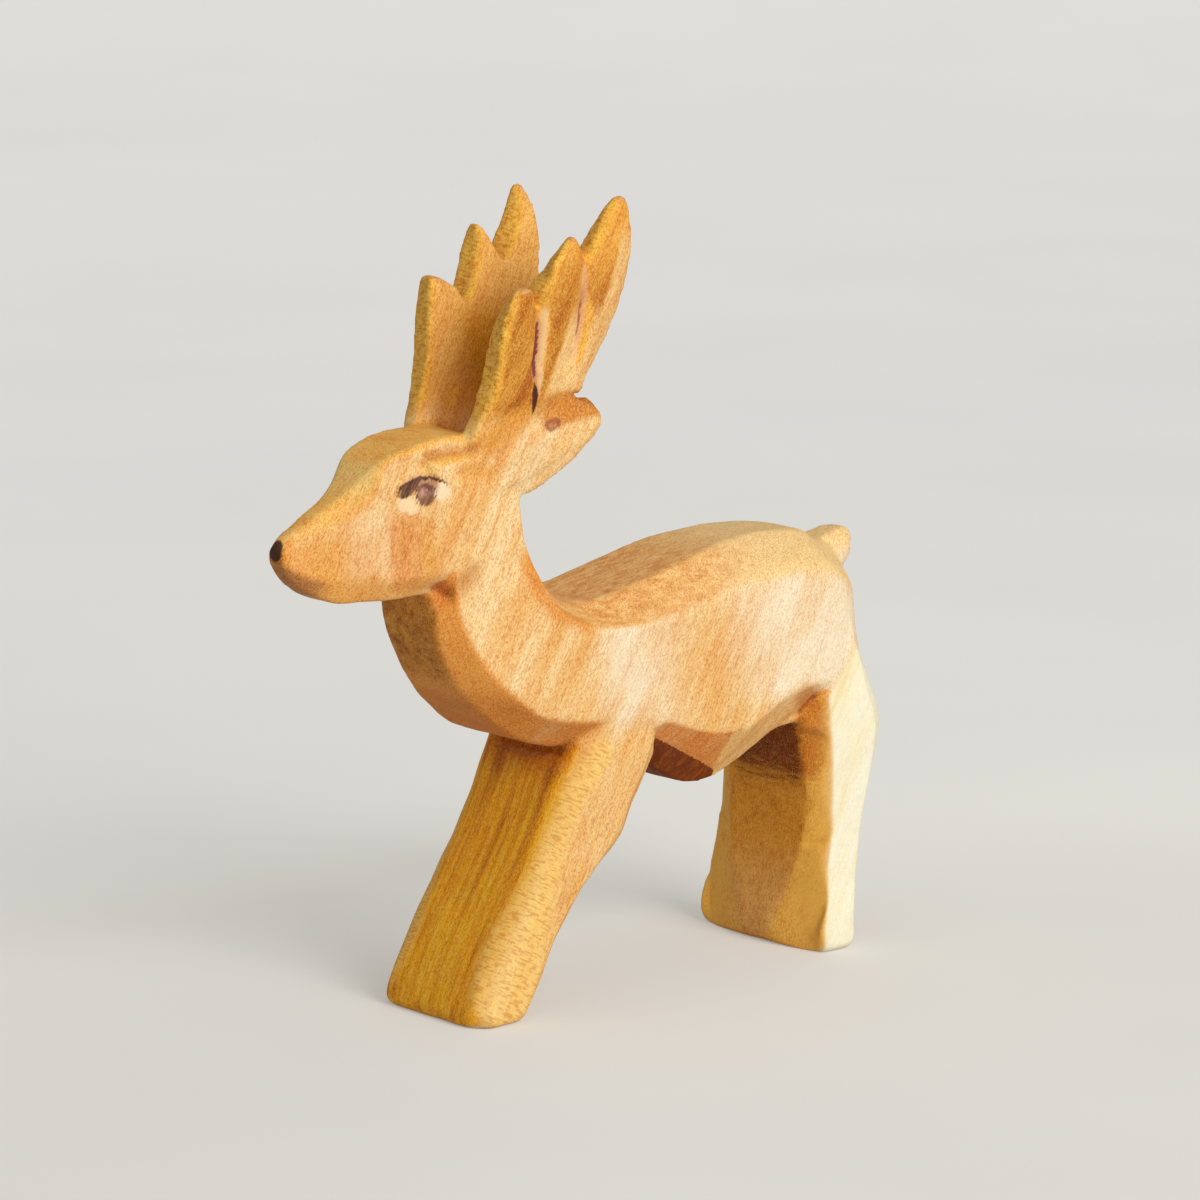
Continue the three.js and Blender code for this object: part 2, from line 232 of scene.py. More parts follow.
def pared(places, corners, spine, reach):
    """A flat knife cut on both sides of the stag. The plane goes through three corners on the left side, and
    the wood that stands out past it, within reach of the spine, goes. All in millimetres."""
    first, second, third = np.array(corners, float) * MM
    out = np.cross(second - first, third - first)
    out *= -np.sign(out[1]) / np.linalg.norm(out)
    left = folded(places)
    past = np.maximum((left - first) @ out, 0) * ramp(along(left, *spine), reach, reach - 0.8)
    left = left - past[:, None] * out
    return np.where((places > 0) & [False, True, False], -left, left)


def grooved(places, facing, half_width, depths, *stops):
    """A knife groove, V-shaped across, on both sides of the stag. Its depth goes through the given depths
    from its first stop to its last. All in millimetres."""
    far, share = nearest(folded(places), stops)
    depth = np.interp(share, np.linspace(0, 1, len(depths)), depths) * np.maximum(1 - far / half_width, 0)
    return places - facing * (depth * MM)[:, None]


def filled(places, facing, way, depth, reach, *stops):
    """Wood put on, or taken off where the depth is below 0, near the line through the stops, on what faces
    about the given way. All in millimetres."""
    share = ramp(along(places, *stops), reach, reach * 0.4) * ramp(facing @ np.array(way, float), 0.2, 0.7)
    return facing * (depth * MM * share)[:, None]


# The antlers' tines are leaves of wood that lie edge to edge in the palm below: each has a broad outer face
# with a low ridge, and a bevel at its front. A row is a height, then five corners of the leaf: outer front,
# inner front, inner rear, outer rear and the ridge, each as its place along the body and out to the side.
LEFT_TINES = [
    [
        (99, -13.0, 9.4, -12.6, 5.0, -10.6, 4.9, -10.2, 10.2, -11.4, 10.9),
        (104, -11.8, 10.0, -11.8, 5.6, -6.6, 5.2, -6.1, 10.9, -8.6, 11.7),
        (109, -10.9, 10.8, -11.0, 6.5, -3.9, 6.0, -3.4, 11.6, -7.0, 12.4),
        (113, -10.5, 11.4, -10.6, 7.3, -1.8, 6.8, -1.7, 12.2, -6.0, 12.9),
        (117, -10.2, 12.0, -9.9, 8.2, -0.5, 7.6, -0.6, 12.7, -4.6, 13.4),
        (121, -8.4, 12.6, -8.2, 9.2, 0.3, 8.5, 0.1, 13.0, -3.6, 13.75),
        (125, -6.6, 12.9, -6.0, 10.1, 0.6, 9.6, 0.05, 13.1, -2.8, 13.9),
        (128, -5.3, 12.9, -4.0, 11.1, 0.0, 11.0, -0.4, 13.1, -2.6, 13.8),
        (130.2, -2.8, 12.8, -2.2, 12.0, -0.9, 12.0, -0.8, 12.8, -1.8, 13.1),
    ],
    [
        (99, -18.6, 9.6, -18.5, 4.8, -9.4, 4.7, -9.4, 9.6, -15.6, 10.9),
        (104, -18.4, 10.1, -18.8, 5.7, -8.9, 5.3, -8.9, 10.2, -14.9, 11.6),
        (109, -18.4, 10.8, -18.4, 6.6, -8.4, 6.3, -8.4, 10.9, -13.3, 12.3),
        (113, -18.0, 11.4, -17.8, 7.5, -8.0, 7.1, -8.2, 11.4, -12.6, 12.9),
        (117, -16.7, 12.3, -16.9, 8.3, -7.8, 7.9, -8.2, 11.8, -11.9, 13.4),
        (121, -15.3, 12.6, -13.2, 9.1, -8.2, 9.2, -9.0, 12.3, -11.7, 13.6),
        (123, -13.9, 12.7, -11.2, 9.7, -9.2, 9.8, -10.3, 12.6, -12.0, 13.4),
        (124.3, -12.7, 12.6, -11.0, 10.8, -10.2, 10.9, -11.0, 12.5, -12.0, 12.9),
    ],
    [
        (99, -26.0, 9.8, -26.8, 6.4, -16.4, 4.9, -16.4, 9.7, -21.3, 10.8),
        (104, -25.3, 10.6, -25.2, 6.8, -16.4, 5.8, -16.4, 10.1, -21.1, 11.5),
        (109, -25.3, 11.3, -24.2, 7.2, -16.6, 6.8, -16.8, 10.8, -21.5, 12.3),
        (113, -24.8, 11.8, -22.8, 7.8, -17.6, 7.6, -18.6, 11.7, -21.9, 12.8),
        (115.5, -23.9, 12.1, -21.2, 8.6, -18.2, 8.8, -19.3, 12.1, -21.8, 12.9),
        (117, -22.9, 12.2, -20.9, 9.7, -19.0, 10.0, -19.8, 12.1, -21.6, 12.7),
    ],
]
RIGHT_TINES = [
    [
        *LEFT_TINES[0][:3],
        (113, -10.0, 11.6, -11.6, 7.5, -1.8, 6.8, -1.7, 12.2, -6.0, 12.9),
        (117, -8.2, 12.2, -8.2, 8.3, -0.6, 7.8, -0.6, 12.7, -4.6, 13.4),
        (121, -6.4, 12.6, -5.1, 9.1, 0.4, 8.7, 0.1, 13.0, -3.4, 13.6),
        (125, -4.3, 12.8, -2.9, 10.0, 0.4, 9.6, 0.0, 13.1, -2.2, 13.7),
        (128, -2.9, 12.8, -1.9, 11.0, -0.1, 10.7, -0.3, 13.0, -1.6, 13.5),
        (130.2, -2.1, 12.4, -1.5, 11.9, -1.1, 11.8, -1.0, 12.5, -1.5, 12.8),
    ],
    [
        *LEFT_TINES[1][:3],
        (113, -15.9, 11.8, -15.7, 7.6, -8.4, 7.2, -8.4, 11.4, -12.6, 12.9),
        (117, -14.3, 12.3, -13.8, 8.3, -7.0, 7.9, -8.4, 11.9, -11.5, 13.2),
        (121, -12.7, 12.6, -12.2, 9.1, -9.3, 8.7, -9.0, 12.4, -10.9, 13.3),
        (123, -11.7, 12.7, -11.9, 9.6, -10.5, 9.1, -9.6, 12.4, -10.7, 13.1),
        (124.3, -11.1, 12.5, -12.1, 10.2, -11.4, 9.8, -10.3, 12.2, -10.6, 12.8),
    ],
    [
        (99, -25.6, 10.0, -27.0, 6.2, -16.4, 4.9, -16.4, 9.7, -21.3, 10.8),
        (104, -24.6, 10.6, -25.9, 6.1, -16.4, 5.8, -16.4, 10.1, -21.1, 11.5),
        (109, -23.8, 11.2, -24.6, 6.9, -16.6, 6.8, -16.8, 10.8, -21.2, 12.2),
        (113, -22.9, 11.7, -23.8, 7.5, -16.6, 7.4, -17.6, 11.6, -20.8, 12.6),
        (115, -22.3, 12.0, -23.4, 7.9, -17.8, 7.9, -18.0, 11.8, -20.5, 12.7),
        (117, -21.5, 12.2, -22.9, 8.6, -21.2, 8.6, -20.4, 11.9, -21.0, 12.4),
    ],
]
PALM_TOP = 104 * MM  # where the tines take over from the body's own solid

solids = [sawn(merged_copy("carved_deer"), PALM_TOP)]
solids += [lofted(rows, -1) for rows in LEFT_TINES] + [lofted(rows, 1) for rows in RIGHT_TINES]
for eye in EYES:
    inwards = -math.copysign(0.15 * MM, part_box(eye)[0].y)
    solids += [merged_copy(eye), plug(eye, spread=(1.12, 1, 1.2), shift=(0, inwards, 0))]
solids += [merged_copy("nose_tip"), plug("nose_tip", spread=(1, 0.96, 0.96), shift=(0.4 * MM, 0, 0))]
starts = np.cumsum([0] + [len(places) for places, _ in solids])
stag = made_mesh(
    "carved_stag",
    np.concatenate([places for places, _ in solids]),
    np.concatenate([faces + start for (_, faces), start in zip(solids, starts)]),
)
skinned(stag, SKIN_STEP)

edges = np.empty(2 * len(stag.data.edges), np.int32)
stag.data.edges.foreach_get("vertices", edges)
edges = edges.reshape(-1, 2)
places = eased(places_of(stag.data), edges, rounds=5)

# flat cuts, each as three corners of its plane, the spine that it runs along, and its reach
CHEEK_EDGE = [(-45.2, -5.0, 88.6), (-43.9, -7.0, 73.3)]  # where the muzzle's flat meets the one under the eye
NOTCH = (22.5, -12.5, 38.7)  # where the belly's two bevels meet
CUTS = [
    ([(-60.6, -1.8, 79.6), *CHEEK_EDGE], [(-59, -2, 79), (-49, -5, 80)], 8.5),  # the muzzle
    ([*CHEEK_EDGE, (-36.8, -8.6, 79)], [(-41, -8, 88), (-41, -8, 74)], 5),  # under the eye
    ([(8.6, -13.2, 44.6), NOTCH, (18, -7.3, 33.4)], [(12, -12, 42), (19, -10, 36)], 5.5),  # the belly, front
    ([NOTCH, (40.5, -13.2, 45.6), (33, -8.6, 37.6)], [(26, -10, 37), (38, -12, 43)], 6),  # the belly, rear
    ([(43.4, -9.2, 34), (43.3, -8.8, 20), (45.2, -12.6, 27)], [(44, -10, 33), (43, -10, 22)], 5),  # the hock
    ([(43.3, -8.8, 20), (40.3, -3.8, 3), (43.6, -13.4, 10)], [(42, -10, 19), (41, -7, 2)], 7),  # the foot
]
for corners, spine, reach in CUTS:
    places = pared(places, corners, spine, reach)

# places where the wood is a little fuller or thinner, each as the way that it faces, how much, its reach and
# its stops
FILLS = [
    ((1, 0, 0), 1.2, 13, [(-4, -5, 24), (-11, -5, 17), (-18, -5, 9)]),  # behind the front legs
    ((-1, 0, 0), 0.6, 14, [(-33.5, -3, 66), (-31, -3, 57)]),  # the throat
    ((0.5, 0, -0.8), 1.3, 8, [(-8, -11, 96), (-16, -10, 89)]),  # below the ears
    ((1, 0, 0), -0.9, 12, [(55, -4, 62), (54.5, -4, 56)]),  # below the tail
]
facing = laid(stag.data, places)
left = folded(places)
places += sum(filled(left, facing, way, depth, reach, *stops) for way, depth, reach, stops in FILLS)

# grooves, each as half its width, its depths and its stops
BARK_LINE = [(-17.9, -11.7, 114.5), (-17.7, -11.2, 110), (-18.1, -10.6, 105), (-17.8, -9.9, 97)]
SPLIT_LINE = [(-9.2, -12.5, 121), (-9.4, -11.8, 113), (-10.0, -11.0, 106)]
GROOVES = [
    (1.2, [0.3, 0.9, 0.8, 0.8], BARK_LINE),  # between the brow tine and the middle one
    (1.0, [0.2, 0.6, 0.3], SPLIT_LINE),  # between the middle tine and the rear one
    (1.8, [0.3, 1.0, 0.4], [(-38, -6.8, 91.8), (-33, -7.6, 92.5), (-28, -8.6, 92.6)]),  # the brow
    (2.4, [0.2, 0.7, 0.2], [(-33, -8.7, 89.6), (-29, -8.7, 88.7), (-24.5, -8.8, 88.2)]),  # behind the eye
    (2.4, [0.3, 1.8, 0.3], [(-39, -6.6, 70.0), (-32.5, -7.6, 70.2), (-28.8, -9.2, 73.4)]),  # under the jaw
    (2.6, [0.1, 0.9, 0.2], [(-15.5, -10.8, 95.9), (-10.5, -11.4, 97.6), (-6.8, -11.8, 98)]),  # in the ear
    (4.2, [0.2, 1.5, 1.5], [(47, -9, 69), (50.5, -5, 70.2), (51, 0, 70.2)]),  # the root of the tail
    (2.0, [1.3, 1.3, 0.5], [(-10.5, 0, 41.4), (-10.2, -6, 41.8), (-9.2, -9.6, 42.2)]),  # under the chest
]
facing = laid(stag.data, places)
for half_width, depths, stops in GROOVES:
    places = grooved(places, facing, half_width, depths, *stops)

# the front legs' outer edges, the croup's and all the toes are worn round
LEG_EDGE = [(-5.9, -12.7, 41), (-10.5, -12, 35.9), (-15.7, -12, 26.9), (-24, -12.5, 12), (-26, -13, 5)]
CROUP_EDGE = [(27, -12.4, 66.5), (40, -12, 67.4), (50, -10.6, 65), (55, -9, 61)]
left = folded(places)
worn = np.maximum(ramp(along(left, *LEG_EDGE), 5.5, 2.5), ramp(along(left, *CROUP_EDGE), 8, 4))
worn = np.maximum(worn, ramp(places[:, 2] / MM, 4, 1) * 0.15)[:, None]
places = sanded(places, edges, rounds=1, share=0.5)
places = sanded(places, edges, rounds=70, share=0.5 * worn)
facing = laid(stag.data, places)
# how deep each corner lies in a hollow, which the finish darkens as painted shade
hollow = ((sanded(places, edges, rounds=24, share=0.5) - places) * facing).sum(axis=1) / MM

lift = 0.06 + 0.16 * ramp(places[:, 2] / MM, 98, 103)  # what the sanding took off
places += facing * (MM * (0.05 * swell(places, length=7 * MM, seed=3) + lift))[:, None]
places = np.clip(places, np.array(cad_low), np.array(cad_high))
facing = laid(stag.data, places)

# what the finish has to know of each corner: the way of its cut, the limb that it is on, how far it is
# from the marks in the wood, and where light and shade are painted on it
broad = sanded(facing, edges, rounds=6, share=0.5)
broad /= np.linalg.norm(broad, axis=1)[:, None]
across = np.abs(broad[:, 1])
before = -broad[:, 0]
up = broad[:, 2]
x, y, z = places.T / MM
left = folded(places)
on_front_leg = ramp(z, 45, 43) * ramp(x, 4, 0)
on_hind_leg = ramp(x, 34, 38) * ramp(z, 46, 42)
on_antler = ramp(z, 95, 99)
on_head = ramp(z, 79, 84) * (1 - on_antler) * ramp(x, -16, -20)
under_belly = ramp(z, 47, 45) * ramp(x, 6, 9) * ramp(x, 40, 36) * ramp(up, -0.3, -0.45)
outside = ramp(facing[:, 1] * np.sign(y), 0.2, 0.5)
inside = (1 - outside) * ramp(across, 0.4, 0.7)
from_bark = x - place_on(BARK_LINE, z)
from_split = x - place_on(SPLIT_LINE, z)
bark_taper = np.interp(z, [101, 104, 107, 111, 114], [0.9, 0.1, 0, 0.15, 1.0])
split_taper = np.interp(z, [105, 109, 113, 116, 121], [0.6, 0.1, 0, 0.1, 0.7])

# where the sapwood starts, the inner edge of the hind leg's bevel, the upper edge of the ear's hollow, and
# the ridges of the middle tine and the rear one
crease = np.interp(
    z, [8.8, 20.4, 32.4, 39.3, 43.3, 48.4, 53, 58, 64], [41.3, 43.9, 44.1, 43.5, 44.5, 49.5, 52.8, 56.5, 64]
)
facet_edge = np.interp(z, [0, 3, 7, 14, 20, 40], [-2.5, -3.8, -5.9, -7.8, -9.0, -9.4])
ear_edge = np.interp(x, [-16, -5], [94.6, 96.0])
middle_ridge = np.interp(z, [99, 104, 109, 113], [-16.4, -14.9, -13.2, -12.4])
rear_ridge = np.interp(z, [104, 109, 113, 117, 121, 128], [-8.8, -6.9, -5.9, -4.5, -3.4, -2.4])

shoulder = ramp(x, -9, -1) * ramp(x, 16, 6)
haunch = ramp(x, 18, 30) + 0.45 * ramp(x, 29, 36)
flank = np.maximum(shoulder, haunch) * ramp(z, 42, 48) * ramp(z, 72, 62)
cheek = ramp(x, -54, -48) * ramp(x, -37, -44) * ramp(z, 72, 76) * ramp(z, 87, 82)
behind_middle = ramp(x - middle_ridge, -0.3, 0.8) * ramp(z, 115, 109)
behind_rear = ramp(x - rear_ridge, -0.2, 0.4) * ramp(z, 127.5, 121)
leg_edge = ramp(along(left, *LEG_EDGE) - 3.5 * ramp(z, 28, 6), 3.4, 1.2)
rear_face = ramp(broad[:, 0], 0.3, 0.75) * ramp(np.abs(y), 13.8, 7)
marks = {
    # the way of the cut
    "bevel": ramp(before - 0.35 * on_front_leg, 0.25, 0.5),
    "front": ramp(before, 0.72, 0.93),
    "top": ramp(up, 0.3, 0.75) * (1 - on_head),
    "side": ramp(across, 0.6, 0.9),
    # how deep in a hollow, for the painted shade there
    "hollow": hollow,
    # whole limbs
    "ruddy": on_antler,
    "gold": np.maximum(on_front_leg, on_antler),
    "straw": on_hind_leg,
    "trunk": ramp(x, -24, -16),
    "pale": np.maximum(flank, 0.3 * cheek),
    "dashes": np.maximum(leg_edge, on_antler * ramp(before, 0.35, 0.8)),
    # the head
    # painted light: the head's upper and forward faces lightened, standing in for light from the front and
    # above
    "crown": np.maximum(ramp(up, 0.2, 0.6), ramp(before, 0.35, 0.6)) * on_head,
    "head_front_light": ramp(before, 0.45, 0.75) * on_head,
    "muzzle": ramp(x, -42, -48) * ramp(across, 0.5, 0.8) * ramp(z, 85, 78),
    # the facet under the eye: its own more orange colour, with painted shade for its turn towards the front
    "band": ramp(x, -44.6, -43.2) * ramp(x, -38.2, -39.4) * ramp(z, 70, 73) * ramp(z, 85, 82),
    "stripe": ramp(np.abs(x + 37.8), 1.7, 0.9) * ramp(z, 72, 76) * ramp(z, 84, 82),
    "brow": along(left, (-36.8, -6.9, 92.0), (-33, -7.6, 92.6), (-28.4, -8.6, 92.6)),
    "temple": along(left, (-31, -8.7, 89.2), (-26, -8.8, 88.4)),
    "chin": ramp(x, -53.5, -56.5) * ramp(z, 79.5, 76) * ramp(-up, -0.05, 0.3),
    "jaw": ramp(x, -57, -54) * ramp(x, -36, -38) * ramp(z, 76, 73) * ramp(-up, 0.2, 0.45),
    # painted shade along the groove under the jaw
    "hinge": along(left, (-35, -7.2, 69.6), (-31.5, -8.6, 71.2), (-29.4, -9.2, 73.2)),
    "ear": ramp(z - ear_edge, -0.5, 0.6) * ramp(x, -17, -15) * ramp(z, 101, 99.5),
    "rim": ramp(up, 0.3, 0.6) * ramp(x, -12, -10) * ramp(z, 102, 100.5) * ramp(z, 96.5, 98),
    "knot": along(left, (-15.0, -10.9, 95.0), (-13.9, -11.3, 95.4)),
    # the antlers
    "root": along(left, (-26, -9.2, 93.4), (-22.5, -9.6, 95.6), (-20, -10, 97)),
    "inner": inside * on_antler,
    # painted shade: the inner faces low between the antlers, where the near antler shades the far one
    "valley_shade": inside * ramp(x, -22, -15) * ramp(z, 116, 108) * ramp(z, 93, 95),
    # the tines' outer faces: darker in front of their ridges and paler just behind them, partly the wood's
    # own tone and partly painted shade and light for how the faces turn
    "core": outside * on_antler * ramp(z, 124, 114) * (1 - ramp(before, 0.3, 0.6)),
    "peach": outside * on_antler * np.maximum(behind_middle, behind_rear),
    "bark": np.abs(from_bark) + bark_taper + 9 * (1 - outside * ramp(z, 99, 101) * ramp(z, 116, 114)),
    "bark_side": from_bark / np.interp(z, [101, 107, 114], [0.6, 1.0, 1.0]),
    "bark_zone": outside * ramp(z, 99, 102.5) * ramp(z, 114.6, 113),
    "lens": np.abs(from_bark) + (z - 99.5) ** 2 / 15 + 9 * (1 - outside),
    "split": np.abs(from_split) + split_taper + 9 * (1 - outside * ramp(z, 103, 105) * ramp(z, 122, 120)),
    # the trunk
    # painted light: the croup's upper faces, lightened to look as bright as the lit side
    "croup": ramp(x, 14, 34) * ramp(up, 0.2, 0.5) * ramp(z, 55, 60),
    "nape": along(left, (-19, -10.6, 74), (-17.2, -11.7, 68.6), (-15.2, -12.3, 66), (-9, -12.8, 63)),
    "chest": ramp(z, 55, 51) * ramp(z, 42, 43) * ramp(x, -2, -6) * ramp(-up, 0.2, 0.45),
    # painted shade: the belly's steep lower facet, below the line where its two bevels meet
    "under": under_belly * ramp(40.6 - 0.526 * (x - 9.9) - z, -0.2, 0.4) * ramp(x, 24.5, 23.5),
    "notch": under_belly * ramp(x, 23.6, 22.6),
    # the legs
    # painted shade: the fronts of the front legs darker just under the chest's overhang
    "dusk": on_front_leg * ramp(before, 0.4, 0.7) * ramp(z, 33, 41) * ramp(np.abs(y), 12, 9),
    "stain": ramp(z, 20, 34) * on_hind_leg * ramp(before, 0.5, 0.8) * ramp(np.abs(y), 10.8, 6.5),
    # painted shade in the hollow where the belly meets the front of the hind leg
    "hind_join_shade": along(left, (39.8, -12.4, 44.6), (43.0, -11.4, 41.5), (43.4, -10.8, 36), (43.3, -9.6, 31)),
    "facet": on_hind_leg * ramp(facet_edge - left[:, 1] / MM, -0.25, 0.25) * ramp(before, 0.4, 0.7),
    "foot": ramp(z, 20, 6) * ramp(x, 34, 38),
    "sap": np.minimum((x - crease) * np.interp(z, [42, 56], [1, 0.3]), 4) - 7 * rear_face,
}


class Shade:
    """One socket of the finish that is being mixed. Sums and products of shades add their Math nodes."""

    tree = None

    def __init__(self, socket):
        self.socket = socket

    @classmethod
    def node(cls, kind, sockets, out=0, **settings):
        """Adds a node: first its settings, then what its sockets take, and gives one of its outputs."""
        made = cls.tree.nodes.new("ShaderNode" + kind)
        stops = settings.pop("stops", ())
        for name, value in settings.items():
            setattr(made, name, value)
        for spot, (place, color) in enumerate(stops):
            if spot > 1:
                made.color_ramp.elements.new(1)
            made.color_ramp.elements[spot].position = place
            made.color_ramp.elements[spot].color = color
        for name, value in sockets.items():
            if isinstance(value, Shade):
                cls.tree.links.new(value.socket, made.inputs[name])
            else:
                made.inputs[name].default_value = value
        return Shade(made.outputs[out]) if len(made.outputs) else made

    def _math(operation, swap=False):
        def work(self, other=0.0):
            pair = (other, self) if swap else (self, other)
            return Shade.node("Math", dict(enumerate(pair)), operation=operation)

        return work

    __add__ = __radd__ = _math("ADD")
    __sub__ = _math("SUBTRACT")
    __rsub__ = _math("SUBTRACT", True)
    __mul__ = __rmul__ = _math("MULTIPLY")
    __truediv__ = _math("DIVIDE")
    __rtruediv__ = _math("DIVIDE", True)
    __pow__ = _math("POWER")
    __abs__ = _math("ABSOLUTE")
    highest = _math("MAXIMUM")

    def rise(self, low, high):
        """0 up to low and 1 from high on, with a smooth rise between them. Low may be the greater."""
        flip = low > high
        ends = (high, low, 1.0, 0.0) if flip else (low, high, 0.0, 1.0)
        sockets = dict(zip(("Value", "From Min", "From Max", "To Min", "To Max"), (self, *ends)))
        return Shade.node("MapRange", sockets, interpolation_type="SMOOTHSTEP")

    def ramp(self, *stops):
        """A colour that goes through the stops, each a place from 0 to 1 and a colour."""
        return Shade.node("ValToRGB", {"Fac": self}, stops=stops)

    def under(self, share, color, how="MIX"):
        """This colour with another one over it, by a share."""
        return Shade.node("Mix", {0: share, 6: self, 7: color}, out=2, data_type="RGBA", blend_type=how)


def tone(red, green, blue):
    """A colour as it is seen on a screen, 0 to 255 each, as the linear colour of a shader."""
    seen = np.array([red, green, blue]) / 255
    linear = np.where(seen <= 0.04045, seen / 12.92, ((seen + 0.055) / 1.055) ** 2.4)
    return (*linear.tolist(), 1.0)


GRAIN_LEAN = 0.5  # radians, how far the grain leans back as it goes up
LEG_LEAN = 0.51  # the front legs' own


def new_finish(name):
    """A new material, with its empty tree as the one that is being mixed."""
    finish = bpy.data.materials.new(name)
    finish.use_nodes = True
    finish.node_tree.nodes.clear()
    Shade.tree = finish.node_tree
    return finish


def fibres(place, size, stretch, detail=2.0, rough=0.5, lean=GRAIN_LEAN):
    """Noise of a size in metres, drawn out by three factors: along the body, across it and up the grain."""
    laid_out = Shade.node(
        "Mapping",
        {"Vector": place, "Rotation": (0, lean, 0), "Scale": stretch},
        vector_type="TEXTURE",
    )
    sockets = {"Vector": laid_out, "Scale": 1 / size, "Detail": detail, "Roughness": rough}
    return Shade.node("TexNoise", sockets)


def layer(name):
    """A value that was worked out for each corner of the piece."""
    return Shade.node("Attribute", {}, out="Fac", attribute_name=name)


def grain_noises():
    """The noises of the wood: broad bands, patches, streaks, fibres and pores. They are drawn out along the
    grain, which itself wavers a little."""
    place = Shade.node("TexCoord", {}, out="Object")
    wave = Shade.node("TexNoise", {"Vector": place, "Scale": 45.0, "Detail": 1.0}, out="Color")
    wave = Shade.node("VectorMath", {0: wave, 1: (0.5, 0.5, 0.5)}, operation="SUBTRACT")
    wave = Shade.node("VectorMath", {0: wave, 1: (0.003, 0.003, 0.003)}, operation="MULTIPLY")
    bent = Shade.node("VectorMath", {0: place, 1: wave}, operation="ADD")
    return SimpleNamespace(
        bands=fibres(bent, 3.2 * MM, (1, 2, 13), 4.0, 0.66),
        patches=fibres(bent, 7 * MM, (1, 1, 3), 2.0, 0.5),
        streaks=fibres(bent, 0.8 * MM, (1, 2, 20), 2.0, 0.6),
        leg_streaks=fibres(place, 1.5 * MM, (1, 1, 50), 3.0, 0.6, LEG_LEAN),
        fine=fibres(place, 0.36 * MM, (1, 1, 6), 2.0, 0.6),
        pores=fibres(place, 0.2 * MM, (1, 1, 2.2), 1.0),
        cross=fibres(place, 0.34 * MM, (4.0, 4.0, 1), 1.0),
        lines=fibres(bent, 1.1 * MM, (14, 1, 1.5), 2.0, 0.6),
        upright=fibres(place, 0.45 * MM, (1, 1, 12), 2.0, 0.6, 0.0),
        across_leg=fibres(place, 0.6 * MM, (1, 9, 1), 2.0, 0.6, 0.0),
    )


def end_grain(grain):
    """The colour of the cuts that face forwards: brown on the body, gold on the front legs and the antlers,
    and straw on the hind legs."""
    brown = (grain.bands * 0.5 + grain.streaks * 0.5).ramp(
        (0.33, tone(228, 166, 70)),
        (0.46, tone(210, 142, 50)),
        (0.56, tone(188, 118, 36)),
        (0.66, tone(150, 88, 22)),
    )
    golden = grain.leg_streaks.ramp(
        (0.32, tone(255, 198, 48)),
        (0.45, tone(252, 180, 20)),
        (0.56, tone(240, 162, 10)),
        (0.68, tone(206, 128, 2)),
    )
    straw = grain.streaks.ramp(
        (0.3, tone(242, 172, 60)),
        (0.5, tone(236, 164, 44)),
        (0.7, tone(224, 152, 34)),
    )
    return brown.under(layer("straw"), straw).under(layer("gold"), golden)


def cut_wood(grain, pale_share):
    """The colour of the wood by the way that the knife went across it: pale on the sides, and browner on what
    faces forwards, down or up. Painted light and shade go over it: the head's upper and forward faces and the
    croup's upper faces are lightened, and the tines' outer faces are darker before their ridges and paler
    behind them, partly for how they turn to the light."""
    bands = grain.bands
    side = bands.ramp(
        (0.34, tone(254, 223, 166)),
        (0.47, tone(251, 208, 141)),
        (0.6, tone(246, 189, 112)),
        (0.72, tone(236, 166, 88)),
    )
    ruddy = bands.ramp(
        (0.34, tone(246, 184, 80)),
        (0.47, tone(238, 168, 62)),
        (0.58, tone(228, 148, 44)),
        (0.7, tone(204, 118, 24)),
    )
    back = grain.lines.ramp(
        (0.34, tone(252, 204, 134)),
        (0.5, tone(246, 188, 112)),
        (0.64, tone(228, 162, 88)),
    )
    # the wood's own colour made lighter, painted light for the head's upper and forward faces
    crown = bands.ramp(
        (0.36, tone(255, 205, 110)),
        (0.5, tone(255, 194, 94)),
        (0.66, tone(244, 172, 74)),
    )

    color = side.under(layer("ruddy"), ruddy)
    color = color.under(layer("muzzle") * 0.8, tone(242, 168, 74))
    ochre = grain.patches.rise(0.5, 0.34) * 0.3 * layer("side") * layer("trunk")
    color = color.under(ochre, tone(240, 176, 84))
    color = color.under(pale_share, tone(255, 237, 202))
    color = color.under(layer("inner") * 0.45, tone(255, 206, 120))
    # partly painted shade and light: the tines' outer faces darker before their ridges, paler just behind
    core = layer("core") * (1 - layer("peach")) * (bands.rise(0.36, 0.6) * 0.45 + 0.6)
    color = color.under(core, tone(220, 202, 170), "MULTIPLY")
    color = color.under(layer("peach") * (bands.rise(0.75, 0.4) * 0.45 + 0.4), tone(255, 218, 150))

    off_crown = 1 - layer("crown")
    color = color.under(layer("top"), back)
    color = color.under(layer("bevel") * off_crown, tone(250, 170, 78))
    # painted light: the head's upper and forward faces lightened instead of browned
    color = color.under(layer("crown"), crown)
    color = color.under(layer("head_front_light") * 0.8, tone(255, 219, 134))
    # painted light on the croup's upper faces
    color = color.under(layer("croup") * 0.85, tone(255, 223, 157))
    deep_share = layer("front").highest(layer("bevel") * layer("gold")) * off_crown
    color = color.under(deep_share, end_grain(grain))
    color = color.under(layer("gold") * layer("ruddy") * layer("bevel") * 0.5, tone(255, 206, 92))
    color = color.under(layer("chest") * (bands.rise(0.35, 0.6) * 0.2 + 0.75), tone(222, 140, 58))
    color = color.under(layer("foot") * layer("front") * 0.4, tone(255, 210, 140))
    color = color.under(layer("facet") * 0.85, tone(255, 196, 84))
    color = color.under(layer("notch") * (grain.streaks.rise(0.62, 0.38) * 0.3 + 0.65), tone(226, 134, 52))
    color = color.under(layer("jaw") * 0.6, tone(255, 186, 96))
    return color.under(layer("chin") * (grain.streaks.rise(0.3, 0.6) * 0.2 + 0.75), tone(192, 128, 70))


